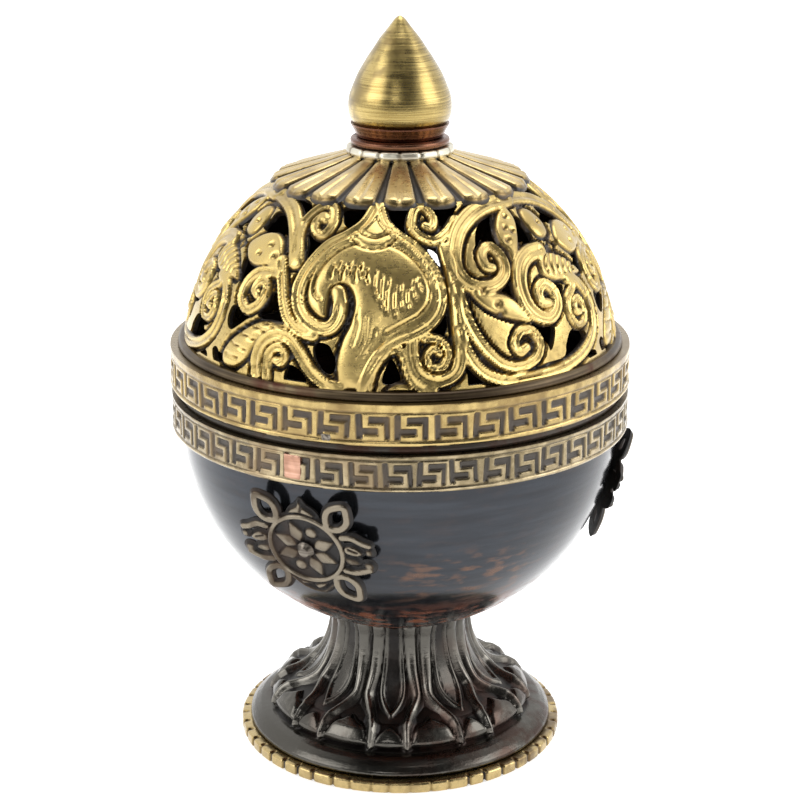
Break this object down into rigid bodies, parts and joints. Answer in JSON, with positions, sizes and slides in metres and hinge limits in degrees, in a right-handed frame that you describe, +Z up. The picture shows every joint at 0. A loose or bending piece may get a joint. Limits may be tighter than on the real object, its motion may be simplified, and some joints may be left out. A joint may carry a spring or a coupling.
{
  "type": "incense burner",
  "caption": "Footed round incense burner: dark metal bowl with wheel plaques and key-pattern bands, pierced scrollwork dome lid that lifts off, bud finial and fluted foot.",
  "frame": {"origin": "centre of the foot's underside, on the surface the burner stands on", "axes": "+Z up along the burner's axis; -Y is the front, and the seen plaque is 24 degrees from it towards -X"},
  "size_m": [0.0766, 0.076, 0.1212],
  "materials": {
    "base_brass": "antique, notched",
    "foot_gunmetal": "dark patinated, worn bright on the ridges",
    "bowl_patina": "glossy near-black patina on copper with dark red flashes",
    "pale_brass": "pale worn brass, dark recesses",
    "gold_brass": "golden worn brass, dark recesses",
    "dome_brass": "antique brass, dark recesses",
    "copper": "mottled reddish copper",
    "antique_silver": "antique silver-bronze, dark recesses",
    "steel": "dull plated steel",
    "bud_brass": "turned brass with fine rings",
    "collar_silver": "pale silver wash"
  },
  "bodies": {
    "base": {"base_ring": "base_brass", "pedestal": "foot_gunmetal", "bowl": "bowl_patina", "bowl_band": "pale_brass", "bowl_band_joint": "copper", "rim_sleeve": "bowl_patina", "foot_bolt": "copper", "foot_washer": "steel", "foot_nut": "steel", "wheel_plaque_1": "antique_silver", "wheel_plaque_2": "antique_silver", "wheel_plaque_3": "antique_silver", "plaque_rivets": "antique_silver"},
    "ash_pan_body": {"ash_pan": "copper"},
    "lid": {"lid_band": "gold_brass", "lid_band_joint": "steel", "seat_ring": "foot_gunmetal", "lid_dome": "dome_brass", "petal_cap": "dome_brass", "finial_collar": "collar_silver", "finial_ring": "copper", "finial_cup": "copper", "finial_bud": "bud_brass", "finial_stud": "steel", "finial_washer": "steel", "finial_nut": "steel"}
  },
  "joints": [
    {"name": "lid_lift", "type": "slide", "parent": "base", "child": "lid", "axis": [0, 0, 1], "range_m": [0, 0.1]},
    {"name": "pan_lift", "type": "slide", "parent": "base", "child": "ash_pan_body", "axis": [0, 0, 1], "range_m": [0, 0.06]}
  ],
  "couplings": [
    {"joint": "pan_lift", "follows": "lid_lift", "ratio": 0.6}
  ]
}
